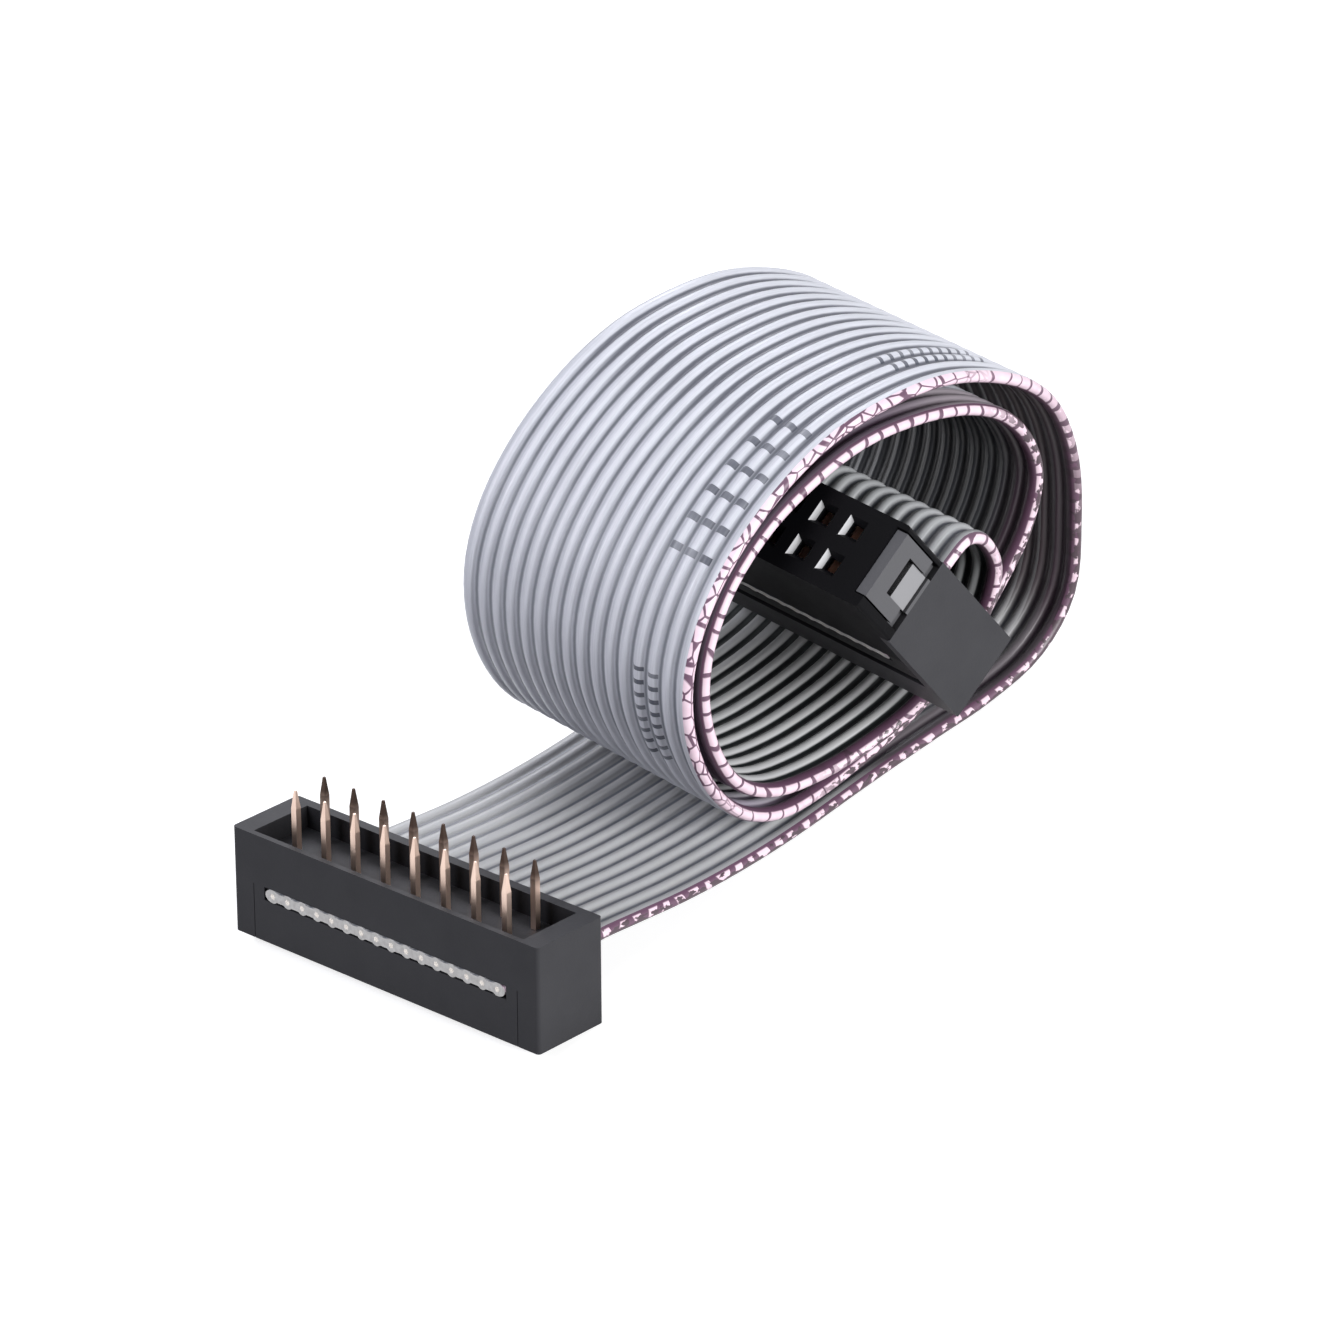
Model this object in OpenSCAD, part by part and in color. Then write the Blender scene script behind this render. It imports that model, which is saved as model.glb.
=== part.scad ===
// Ribbon cable assembly: a 16-way flat ribbon with a low solder-tail header
// pressed on at one end and a socket pressed on at the other. The ribbon is
// rolled into a loose coil of two turns with the socket inside it.
// Origin: centre of the header's underside. +X runs along the header, +Y runs
// from the header towards the coil, +Z is up. The header leans back on its
// rear lower edge, and the coil lies on the same flat surface.

/* [Ribbon] */
// Distance from the middle of one wire to the next
wire_pitch = 1.27; // [1.2:0.01:1.6]
// Thickness of the ribbon over a wire
ribbon_t = 0.9; // [0.7:0.05:1.1]

/* [Header] */
// Front to back
header_depth = 5.8; // [5:0.1:7.2]
// Underside to rim
header_height = 7.2; // [6.6:0.1:9]
// Length beyond the ribbon's edge at each end
header_end = 2.74; // [2.2:0.02:4]
// Width of the post at each end, beside the bar that clamps the ribbon
header_post = 1.7; // [1.2:0.1:2]
// Height of the ribbon's mid-line above the underside
header_slot = 3.35; // [2.8:0.05:3.9]
// Depth of the shallow tray in the top
tray_depth = 1.5; // [0.8:0.1:1.9]
// Rim in front of the tray
tray_front = 0.4; // [0.3:0.05:0.8]
// Rim behind the tray
tray_back = 0.7; // [0.4:0.05:0.8]
// Solid length at each end of the tray
tray_end = 1.5; // [1:0.1:2.5]
// Angle that the header leans back
header_lean = 9.5; // [0:0.5:15]

/* [Pins] */
// Side of a square pin
pin_side = 0.42; // [0.4:0.02:0.7]
// Height of the pins above the header's rim
pin_proud = 3.1; // [2:0.1:6]
// Height of the taper at a pin's tip
pin_taper = 1.2; // [0.2:0.1:1.2]

/* [Socket] */
// Thickness, the way that the two rows of contacts are spaced
socket_thick = 6; // [5.4:0.1:7.2]
// Mating face to back
socket_depth = 15; // [13.4:0.1:16]
// Length beyond the ribbon's edge at each end
socket_end = 2.34; // [2:0.02:3.2]
// Depth of the ribbon's mid-line below the mating face
socket_slot = 8.7; // [7.6:0.1:9.5]
// Thickness of the bar that clamps the ribbon, below it
socket_bar = 1.45; // [1.2:0.05:1.9]
// Thickness of the strain relief's end plates
relief_plate = 0.85; // [0.6:0.05:1.2]
// Depth of the strain relief's back bar
relief_bar = 3.4; // [2:0.1:3.6]
// Length of the latch arms in front of the end plates
arm_length = 4.7; // [4.5:0.1:6]
// Angle that the socket tips forward in the coil
socket_pitch = 33; // [28:0.5:36]

/* [Contacts] */
// Thickness of the forked blade
blade_t = 0.3; // [0.2:0.02:0.4]
// Half of the fork's width
fork_half = 0.5; // [0.4:0.02:0.58]
// Half of the gap between the tines
fork_gap = 0.19; // [0.14:0.01:0.24]
// Length of the tines' points below the ribbon
tine_proud = 0.9; // [0.5:0.05:1]

/* [Fits] */
// Gap on each side of the ribbon in its slots
slot_fit = 0.1; // [0.05:0.05:0.3]
// Gap between moulded pieces that slide together
part_fit = 0.05; // [0.02:0.01:0.12]
// Gap around a contact in its pocket
contact_fit = 0.03; // [0.01:0.01:0.06]
// Gap around a tine in the slit that it makes in the ribbon
slit_fit = 0.02; // [0.01:0.01:0.05]

/* [Hidden] */
$fn = 32;
plastic = "#3b3b40";
copper = "#c9a698";
ribbon_grey = "#c6cad6";

// Wires, contacts and overall lengths
wire_count = 16;
columns = wire_count / 2;
pin_pitch = 2 * wire_pitch;
ribbon_w = wire_count * wire_pitch;
header_len = ribbon_w + 2 * header_end;
socket_len = ribbon_w + 2 * socket_end;
moulding_r = 0.25;

// Header: heights of the ribbon's faces and of each contact's shoulder
header_ribbon_top = header_slot + ribbon_t / 2;
header_ribbon_low = header_slot - ribbon_t / 2;
bay_half = header_len / 2 - header_post;
root_gap = 0.3;
shoulder_h = 0.8;
pin_top = header_height + pin_proud;

// Socket: the same, down from the mating face at z = 0
socket_ribbon_top = -socket_slot + ribbon_t / 2;
socket_ribbon_low = -socket_slot - ribbon_t / 2;
socket_inner = socket_len / 2 - relief_plate;
bar_low = socket_ribbon_low - socket_bar;
entry_wall = 0.7;
entry_side = 0.9;
entry_mouth = 1.5;
cavity_x = 0.8;
beam_w = 1.3;
beam_t = 0.2;
beam_base = 0.25;

// Latch arm, measured across the end face from its middle
arm_front = -socket_thick / 2 + 0.9;
arm_rear = socket_thick / 2 - 0.5;
arm_gap = 0.12;
window_front = -socket_thick / 2 + 2;
window_rear = socket_thick / 2 - 1.4;
window_near = 1.7;
window_far = 4.4;
lug_near = 2.5;
hinge_top = 3.8;
hinge_cut = 0.45;

// Where things stand: the surface under the row, and the socket in the coil
floor_z = -header_depth / 2 * sin(header_lean);
coil_tilt = 4;
coil_yaw = 4.5;
socket_at = [5.9, 27.5, 22.1];

// ---- frames -------------------------------------------------------------

// Header's own frame: underside at z = 0
module at_header() {
    rotate([-header_lean, 0, 0]) children();
}

// Socket's own frame: mating face at z = 0, ribbon leaves towards +Y
module at_socket() {
    translate(socket_at)
        rotate([0, coil_tilt, -coil_yaw])
            rotate([socket_pitch, 0, 0]) children();
}

function turn_x(p, a) = [p.x, p.y * cos(a) - p.z * sin(a), p.y * sin(a) + p.z * cos(a)];
function turn_y(p, a) = [p.x * cos(a) + p.z * sin(a), p.y, -p.x * sin(a) + p.z * cos(a)];
function turn_z(p, a) = [p.x * cos(a) - p.y * sin(a), p.x * sin(a) + p.y * cos(a), p.z];
function in_header(p) = turn_x(p, -header_lean);
function lean_coil(p, k) = turn_z(turn_y(p, coil_tilt * k), -coil_yaw * k);
function in_socket(p) = socket_at + lean_coil(turn_x(p, socket_pitch), 1);

// ---- the ribbon's route -------------------------------------------------

// Points along the ribbon's mid-line: x, y, height above the surface, and how
// far the ribbon has taken up the coil's lean (0 flat, 1 fully leaned).
run = [
    [0, 6.5, 3.2, 0], [0, 10, 2.5, 0], [0, 13.9, 1.7, 0], [0, 17.9, 1.1, 0],
    [0, 21.9, 0.7, 0], [0, 25.9, 0.5, 0], [0, 29.9, 0.45, 0], [0.1, 33.9, 0.45, 0],
    [0.3, 38.5, 0.45, 0], [0.6, 43.6, 0.6, 0.1],
    // outer turn, up and over
    [1, 48.5, 1.8, 0.4], [1.5, 51.9, 5.1, 0.8], [2, 52.8, 10.2, 1], [2.4, 52.7, 15.2, 1],
    [2.6, 51.3, 19.6, 1], [2.7, 48.6, 22.8, 1], [2.6, 44.9, 25.2, 1], [2.4, 40.9, 26.8, 1],
    [2.1, 36.4, 27.5, 1], [1.7, 31.9, 27.4, 1], [1.3, 27.4, 26.2, 1], [1, 23, 24, 1],
    [0.6, 19.7, 20.9, 1], [0.3, 17.8, 17.4, 1], [0.1, 17.3, 13.8, 1], [-0.1, 17.9, 10.4, 1],
    [-0.1, 19.2, 7.3, 1], [-0.1, 21.4, 4.7, 1],
    // second turn, inside the first
    [0, 24.4, 3.1, 1], [0.1, 27.9, 2.7, 1], [0.2, 31.9, 2.9, 1], [0.4, 35.7, 3.5, 1],
    [0.7, 38.9, 4.5, 1], [1, 41.9, 6.2, 1], [1.5, 44.9, 8.9, 1], [2.2, 47.6, 12.3, 1],
    [2.6, 48.9, 16, 1], [2.8, 47.9, 19.4, 1], [2.7, 45.7, 22.1, 1], [2.6, 42.3, 24.1, 1],
    [2.4, 38.1, 25.4, 1], [2, 33.7, 25.9, 1], [1.6, 29.5, 25.3, 1], [1.2, 25.4, 23.9, 1],
    [0.8, 22, 21.5, 1], [0.5, 19.6, 18.2, 1], [0.4, 18.6, 14.6, 1], [0.4, 19, 10.9, 1],
    [0.5, 20.6, 7.6, 1], [0.8, 23.4, 5.6, 1], [1.3, 27.3, 4.9, 1],
    // drifting along the coil and turning back into the socket
    [2, 31.2, 5.2, 1], [3, 34.3, 6.3, 1], [4, 36.4, 8, 1], [4.8, 37.9, 9.5, 1],
    [5.4, 38.9, 11.1, 1], [5.9, 39.7, 12.9, 1], [6.2, 40.1, 14.8, 1], [6.3, 39.6, 16.5, 1],
    [6.4, 38.6, 17.8, 1], [6.4, 37.2, 18.3, 1]
];
header_lead = 1.5;
socket_lead = 1.2;

route = concat(
    [for (y = [-header_depth / 2, header_depth / 2, header_depth / 2 + header_lead])
        [in_header([0, y, header_slot]), 0]],
    [for (p = run) [[p.x, p.y, max(p.z, ribbon_t / 2) + floor_z], p[3]]],
    [for (y = [socket_thick / 2 + socket_lead, socket_thick / 2, -socket_thick / 2])
        [in_socket([0, y, -socket_slot]), 1]]
);
last = len(route) - 1;

// Section of the ribbon: a flat strip with its four corners taken off
ribbon_corner = 0.2;
half_w = ribbon_w / 2;
half_t = ribbon_t / 2;
section = [
    [-half_w, half_t - ribbon_corner], [-half_w, ribbon_corner - half_t],
    [ribbon_corner - half_w, -half_t], [half_w - ribbon_corner, -half_t],
    [half_w, ribbon_corner - half_t], [half_w, half_t - ribbon_corner],
    [half_w - ribbon_corner, half_t], [ribbon_corner - half_w, half_t]
];
sides = len(section);

function unit(v) = v / norm(v);
function along(i) = unit(route[min(i + 1, last)][0] - route[max(i - 1, 0)][0]);
function across(i) = lean_coil([1, 0, 0], route[i][1]);
function ring(i) =
    let (a = across(i), n = unit(cross(a, along(i))))
    [for (s = section) route[i][0] + s.x * a + s.y * n];

module ribbon_strip() {
    skin = [for (i = [0:last - 1]) for (j = [0:sides - 1])
        let (a = i * sides + j, b = i * sides + (j + 1) % sides)
        each [[a, b, b + sides], [a, b + sides, a + sides]]];
    start_cap = [for (j = [sides - 1:-1:0]) j];
    end_cap = [for (j = [0:sides - 1]) last * sides + j];
    polyhedron([for (i = [0:last]) each ring(i)], concat(skin, [start_cap], [end_cap]));
}

// ---- shared shapes ------------------------------------------------------

// Bar standing on z = 0 with its four upright edges rounded
module rounded_bar(length, depth, height) {
    linear_extrude(height) {
        square([length - 2 * moulding_r, depth], center = true);
        square([length, depth - 2 * moulding_r], center = true);
        for (x = [-1, 1]) for (y = [-1, 1])
            translate([x * (length / 2 - moulding_r), y * (depth / 2 - moulding_r)])
                circle(moulding_r);
    }
}

// Centred box from z = low to z = high
module block(length, depth, low, high) {
    translate([-length / 2, -depth / 2, low]) cube([length, depth, high - low]);
}

// Square taper standing on z = 0
module taper(low_side, high_side, height) {
    outline = [[-low_side / 2, 0], [low_side / 2, 0], [high_side / 2, height], [-high_side / 2, height]];
    reach = max(low_side, high_side) + 1;
    intersection() {
        rotate([90, 0, 0]) linear_extrude(reach, center = true) polygon(outline);
        rotate([90, 0, 90]) linear_extrude(reach, center = true) polygon(outline);
    }
}

// Contact i sits in column floor(i / 2); even ones in the front row. Its fork
// steps sideways to straddle its own wire.
function contact_x(i) = (floor(i / 2) - (columns - 1) / 2) * pin_pitch;
function contact_y(i) = (i % 2 - 0.5) * pin_pitch;
function fork_step(i) = (i % 2 - 0.5) * wire_pitch;
function shoulder_lo(i, core) = min(-core, fork_step(i) - fork_half);
function shoulder_hi(i, core) = max(core, fork_step(i) + fork_half);

// Two tines and the shoulder above them. "face" is the ribbon's upper face
// and "core" half the width of what the shoulder carries.
module fork(i, face, core) {
    tip = face - ribbon_t - tine_proud;
    root = face + root_gap;
    rotate([90, 0, 0]) linear_extrude(blade_t, center = true) {
        translate([shoulder_lo(i, core), root])
            square([shoulder_hi(i, core) - shoulder_lo(i, core), shoulder_h]);
        translate([fork_step(i), 0]) for (s = [-1, 1]) polygon([
            [s * fork_gap, root], [s * fork_gap, tip + 0.4],
            [s * (fork_gap + fork_half) / 2, tip],
            [s * fork_half, tip + 0.4], [s * fork_half, root]
        ]);
    }
}

// Room for the fork above the ribbon, in the body or the housing
module shoulder_pocket(i, face, core) {
    low = shoulder_lo(i, core) - contact_fit;
    high = shoulder_hi(i, core) + contact_fit;
    translate([low, -blade_t / 2 - contact_fit, face])
        cube([high - low, blade_t + 2 * contact_fit, root_gap + shoulder_h + contact_fit]);
}

// Room for the tines below the ribbon, in the cover
module tine_pocket(i, face) {
    translate([fork_step(i), 0, 0])
        block(2 * (fork_half + contact_fit), blade_t + 2 * contact_fit,
            face - ribbon_t - tine_proud - contact_fit, face);
}

// Slits that the tines cut through the ribbon
module tine_slits(i, face) {
    for (s = [-1, 1])
        translate([fork_step(i) + s * (fork_gap + fork_half) / 2, 0, 0])
            block(fork_half - fork_gap + 2 * slit_fit, blade_t + 2 * slit_fit,
                face - ribbon_t - 0.3, face + 0.3);
}

// Clamping bar: the ribbon lies in its channel, and its ends close the slot
module clamp_bar(half_length, depth, low, ribbon_low, ribbon_top) {
    channel = ribbon_w + 2 * slot_fit;
    difference() {
        block(2 * half_length, depth, low, ribbon_top);
        block(channel, depth + 1, ribbon_low, ribbon_top + 1);
        for (i = [0:wire_count - 1])
            translate([contact_x(i), contact_y(i), 0]) tine_pocket(i, ribbon_top);
    }
}

// ---- header -------------------------------------------------------------

// Moulded body: tray on top, a post at each end, and an open bay between the
// posts where the clamping bar fits from below.
module header_body() {
    color(plastic) at_header() difference() {
        rounded_bar(header_len, header_depth, header_height);
        block(2 * bay_half, header_depth + 1, -1, header_ribbon_top);
        translate([0, (tray_front - tray_back) / 2, 0])
            block(header_len - 2 * tray_end, header_depth - tray_front - tray_back,
                header_height - tray_depth, header_height + 1);
        for (i = [0:wire_count - 1]) translate([contact_x(i), contact_y(i), 0]) {
            block(pin_side + 2 * contact_fit, pin_side + 2 * contact_fit,
                header_ribbon_top - 1, header_height);
            shoulder_pocket(i, header_ribbon_top, pin_side / 2);
        }
    }
}

// Clamping bar pressed up between the posts to drive the ribbon onto the forks
module header_cover() {
    color(plastic) at_header()
        clamp_bar(bay_half - part_fit, header_depth, 0, header_ribbon_low, header_ribbon_top);
}

// Square pin with a pointed top and an offset fork below
module header_contact(i) {
    color(copper) at_header() translate([contact_x(i), contact_y(i), 0]) {
        fork(i, header_ribbon_top, pin_side / 2);
        block(pin_side, pin_side, header_ribbon_top + root_gap, pin_top - pin_taper);
        translate([0, 0, pin_top - pin_taper]) taper(pin_side, pin_side / 3, pin_taper);
    }
}

// ---- socket -------------------------------------------------------------

// Moulded housing: a tapered entry and a long cavity for each contact, a
// channel in each end for the latch arm, and a lug in the channel for its window.
module socket_housing() {
    channel_d = arm_rear - arm_front + 2 * arm_gap;
    color(plastic) at_socket() difference() {
        union() {
            difference() {
                translate([0, 0, -arm_length]) rounded_bar(socket_len, socket_thick, arm_length);
                for (s = [-1, 1])
                    translate([s * (socket_inner + relief_plate - part_fit), (arm_front + arm_rear) / 2, 0])
                        block(2 * relief_plate, channel_d, -arm_length - 1, 1);
            }
            block(2 * (socket_inner - part_fit), socket_thick, socket_ribbon_top, -arm_length);
            for (s = [-1, 1])
                translate([s * (socket_inner + relief_plate / 2 - 0.2), (window_front + window_rear) / 2, 0])
                    block(relief_plate, window_rear - window_front - 2 * part_fit,
                        part_fit - window_far, -lug_near);
        }
        for (i = [0:wire_count - 1]) translate([contact_x(i), contact_y(i), 0]) {
            block(2 * cavity_x, beam_w + 2 * contact_fit, socket_ribbon_top - 1, -entry_wall);
            shoulder_pocket(i, socket_ribbon_top, cavity_x - contact_fit);
            block(entry_side, entry_side, -entry_wall - 1, 1);
            translate([0, 0, -entry_wall * 0.6])
                taper(entry_side, entry_mouth + (entry_mouth - entry_side) * 0.2, entry_wall * 0.72);
        }
    }
}

// Clamping bar behind the housing
module socket_cover() {
    color(plastic) at_socket()
        clamp_bar(socket_inner - part_fit, socket_thick, bar_low, socket_ribbon_low, socket_ribbon_top);
}

// Strain relief clip: a back bar, an end plate at each end, and a latch arm
// with a window on each end plate. Each arm is thinned at its foot, on both
// sides of the window, so that it bends there.
module strain_relief() {
    color(plastic) at_socket() {
        block(2 * socket_inner, socket_thick, -socket_depth, relief_bar - socket_depth);
        for (s = [-1, 1]) difference() {
            translate([s * (socket_inner + relief_plate / 2), 0, 0]) {
                block(relief_plate, socket_thick, -socket_depth, -arm_length);
                translate([0, (arm_front + arm_rear) / 2, 0])
                    block(relief_plate, arm_rear - arm_front, -arm_length, -0.15);
            }
            translate([s * (socket_inner + relief_plate / 2), (window_front + window_rear) / 2, 0])
                block(relief_plate + 1, window_rear - window_front, -window_far, -window_near);
            for (side = [[arm_front, window_front], [window_rear, arm_rear]])
                translate([s * (socket_inner + relief_plate), (side[0] + side[1]) / 2, 0])
                    block(2 * hinge_cut, side[1] - side[0] + part_fit, -arm_length, -hinge_top);
        }
    }
}

// Socket contact: a fork for its wire, a base, and two facing spring beams
module socket_contact(i) {
    seat = socket_ribbon_top + root_gap + shoulder_h;
    color(copper) at_socket() translate([contact_x(i), contact_y(i), 0]) {
        fork(i, socket_ribbon_top, cavity_x - contact_fit);
        block(2 * (cavity_x - contact_fit), beam_w, seat, seat + beam_base);
        for (s = [-1, 1])
            rotate([90, 0, 0]) linear_extrude(beam_w, center = true) polygon([
                [s * 0.6, seat + beam_base], [s * 0.36, -2.6], [s * 0.56, -1],
                [s * (0.56 + beam_t), -1], [s * (0.36 + beam_t), -2.6],
                [s * (0.6 + 0.15), seat + beam_base]
            ]);
    }
}

// ---- ribbon -------------------------------------------------------------

module ribbon() {
    color(ribbon_grey) difference() {
        ribbon_strip();
        at_header() for (i = [0:wire_count - 1])
            translate([contact_x(i), contact_y(i), 0]) tine_slits(i, header_ribbon_top);
        at_socket() for (i = [0:wire_count - 1])
            translate([contact_x(i), contact_y(i), 0]) tine_slits(i, socket_ribbon_top);
    }
}

ribbon();
header_body();
header_cover();
socket_housing();
socket_cover();
strain_relief();
for (i = [0:wire_count - 1]) {
    header_contact(i);
    socket_contact(i);
}
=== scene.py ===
import math

import bmesh
import bpy
from mathutils import Matrix, Vector


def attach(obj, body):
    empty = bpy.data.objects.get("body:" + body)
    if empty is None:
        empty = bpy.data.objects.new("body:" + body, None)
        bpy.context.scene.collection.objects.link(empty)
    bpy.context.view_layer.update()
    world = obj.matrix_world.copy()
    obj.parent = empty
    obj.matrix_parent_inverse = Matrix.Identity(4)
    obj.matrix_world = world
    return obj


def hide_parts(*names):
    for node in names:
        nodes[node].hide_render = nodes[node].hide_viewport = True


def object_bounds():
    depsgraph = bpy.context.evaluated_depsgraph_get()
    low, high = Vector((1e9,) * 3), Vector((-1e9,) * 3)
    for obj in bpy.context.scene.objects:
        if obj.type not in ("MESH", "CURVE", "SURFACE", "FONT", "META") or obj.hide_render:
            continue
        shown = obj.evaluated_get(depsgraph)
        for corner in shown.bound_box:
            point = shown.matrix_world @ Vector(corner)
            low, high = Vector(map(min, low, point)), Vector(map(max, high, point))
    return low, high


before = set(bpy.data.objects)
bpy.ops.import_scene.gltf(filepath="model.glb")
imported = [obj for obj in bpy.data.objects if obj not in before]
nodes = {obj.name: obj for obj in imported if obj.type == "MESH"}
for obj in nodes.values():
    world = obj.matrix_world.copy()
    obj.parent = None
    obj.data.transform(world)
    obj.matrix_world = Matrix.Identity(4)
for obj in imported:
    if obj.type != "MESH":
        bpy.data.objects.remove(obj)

cad_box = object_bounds()


# ---- Camera, light and floor ----------------------------------------------------
# A long lens from the upper right, rolled so that the header's uprights stand
# straight, over a white floor with soft lights in front, at the right, above and behind.

LIGHT_AIM = Vector((0, 0.03, 0.01))
LIGHT_SIDE = 0.2
FILL = 0.08
FLOOR_REACH = 0.6
FLOOR_GLOW = 0.72


def add_object(name, data):
    made = bpy.data.objects.new(name, data)
    bpy.context.scene.collection.objects.link(made)
    return made


def place_camera():
    azimuth, elevation, roll = math.radians(45.37), math.radians(31.43), math.radians(-7.76)
    distance = 0.450
    aim = Vector((-0.00722, 0.03217, 0.00273))
    back = Vector((
        math.sin(azimuth) * math.cos(elevation),
        -math.cos(azimuth) * math.cos(elevation),
        math.sin(elevation),
    ))
    level = Vector((math.cos(azimuth), math.sin(azimuth), 0))
    rise = back.cross(level)
    right = level * math.cos(roll) + rise * math.sin(roll)
    up = back.cross(right)
    data = bpy.data.cameras.new("camera")
    data.lens = 187.1
    data.sensor_width = 36
    data.clip_start, data.clip_end = 0.02, 20
    camera = add_object("camera", data)
    axes = Matrix((right, up, back)).transposed().to_4x4()
    camera.matrix_world = Matrix.Translation(aim + back * distance) @ axes
    bpy.context.scene.camera = camera


def linear(hex_colour):
    """sRGB hex to the linear values that shaders take."""
    channels = [int(hex_colour[i:i + 2], 16) / 255 for i in (1, 3, 5)]
    return tuple(c / 12.92 if c <= 0.04045 else ((c + 0.055) / 1.055) ** 2.4 for c in channels) + (1,)


def add_node(tree, kind, settings=None, **links):
    """Adds a shader node. settings go on the node; links are values or sockets for its inputs."""
    made = tree.nodes.new(kind)
    for name, value in (settings or {}).items():
        setattr(made, name, value)
    for name, value in links.items():
        key = int(name[1:]) if name[0] == "_" else name.replace("_", " ")
        target = made.inputs[key]
        if isinstance(value, bpy.types.NodeSocket):
            tree.links.new(value, target)
        else:
            target.default_value = value
    return made


def new_material(name):
    material = bpy.data.materials.new(name)
    material.use_nodes = True
    material.node_tree.nodes.clear()
    return material, material.node_tree


def area_light(name, place, power, colour):
    data = bpy.data.lights.new(name, "AREA")
    data.shape = "RECTANGLE"
    data.size = data.size_y = LIGHT_SIDE
    data.energy = power
    data.color = linear(colour)[:3]
    light = add_object(name, data)
    light.location = place
    light.rotation_mode = "QUATERNION"
    light.rotation_quaternion = (LIGHT_AIM - Vector(place)).to_track_quat("-Z", "Y")


def seen_directly(tree):
    """1 for rays that show the background: from the camera, off gloss or metal, or through glass."""
    rays = add_node(tree, "ShaderNodeLightPath")
    either = add_node(tree, "ShaderNodeMath", {"operation": "MAXIMUM"},
                      _0=rays.outputs["Is Camera Ray"], _1=rays.outputs["Is Glossy Ray"])
    both = add_node(tree, "ShaderNodeMath", {"operation": "MAXIMUM"},
                    _0=either.outputs[0], _1=rays.outputs["Is Transmission Ray"])
    return both.outputs[0]


def set_world():
    """Even pale light, and pure white where the camera, a mirror or glass sees past the floor."""
    world = bpy.data.worlds.new("studio")
    bpy.context.scene.world = world
    world.use_nodes = True
    tree = world.node_tree
    tree.nodes.clear()
    strength = add_node(tree, "ShaderNodeMix", {"data_type": "FLOAT"},
                        _0=seen_directly(tree), _2=FILL, _3=1.0)
    back = add_node(tree, "ShaderNodeBackground", Color=linear("#ffffff"), Strength=strength.outputs[0])
    out = add_node(tree, "ShaderNodeOutputWorld", Surface=back.outputs[0])
    out.is_active_output = True


def make_floor():
    """White sweep under the part: white to the camera, with the part's shadow kept on it."""
    low = cad_box[0].z
    mesh = bpy.data.meshes.new("floor")
    corners = [(x * FLOOR_REACH, y * FLOOR_REACH + LIGHT_AIM.y, low)
               for x, y in ((-1, -1), (1, -1), (1, 1), (-1, 1))]
    mesh.from_pydata(corners, [], [(0, 1, 2, 3)])
    floor = add_object("floor", mesh)
    material, tree = new_material("white_seamless_paper")
    paper = add_node(tree, "ShaderNodeBsdfDiffuse", Color=linear("#c8c8c8"))
    plain = add_node(tree, "ShaderNodeBsdfDiffuse", Color=linear("#6e6e70"))
    glow = add_node(tree, "ShaderNodeEmission", Color=linear("#ffffff"), Strength=FLOOR_GLOW)
    both = add_node(tree, "ShaderNodeAddShader", _0=paper.outputs[0], _1=glow.outputs[0])
    pick = add_node(tree, "ShaderNodeMixShader",
                    _0=seen_directly(tree), _1=plain.outputs[0], _2=both.outputs[0])
    add_node(tree, "ShaderNodeOutputMaterial", Surface=pick.outputs[0])
    mesh.materials.append(material)


place_camera()
bpy.context.scene.view_settings.view_transform = "Standard"
set_world()
make_floor()
area_light("front", (-0.14, -0.26, 0.28), 1.1, "#f6f7ff")
area_light("right", (0.406, 0.03, 0.12), 2.5, "#ffffff")
area_light("top", (0, 0.03, 0.43), 0.22, "#f6f7ff")
area_light("back", (-0.24, 0.27, 0.24), 0.8, "#f6f7ff")


# ---- Ribbon ---------------------------------------------------------------------
# Sixteen stranded wires moulded side by side in grey PVC, with a ridge over each
# wire and a thin web between. The wire at the +X edge carries the coloured first-
# wire marking, and a row of dashes is printed over the wires beside it.

MM = 0.001
WIRE_PITCH = 1.27 * MM
WIRES = 16
RIBBON_W = WIRES * WIRE_PITCH
RIBBON_T = 0.9 * MM
WEB_T = 0.34 * MM
PRESSED_T = 0.62 * MM      # the web where a connector's bar has flattened it
CLAMPED_RINGS = 6          # sections at each end that a connector holds
STEPS_PER_SPAN = 4
HEADER_DEPTH = 5.8 * MM
HEADER_SLOT = 3.35 * MM
HEADER_LEAN = math.radians(9.5)
HEADER_LEAD = 1.5 * MM
SOCKET_THICK = 6 * MM
SOCKET_SLOT = 8.7 * MM
SOCKET_LEAD = 1.2 * MM
SOCKET_PITCH = math.radians(33)
SOCKET_AT = Vector((5.9, 27.5, 22.1)) * MM
COIL_TILT = math.radians(4)
COIL_YAW = math.radians(4.5)
FLOOR_Z = -HEADER_DEPTH / 2 * math.sin(HEADER_LEAN)

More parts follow.
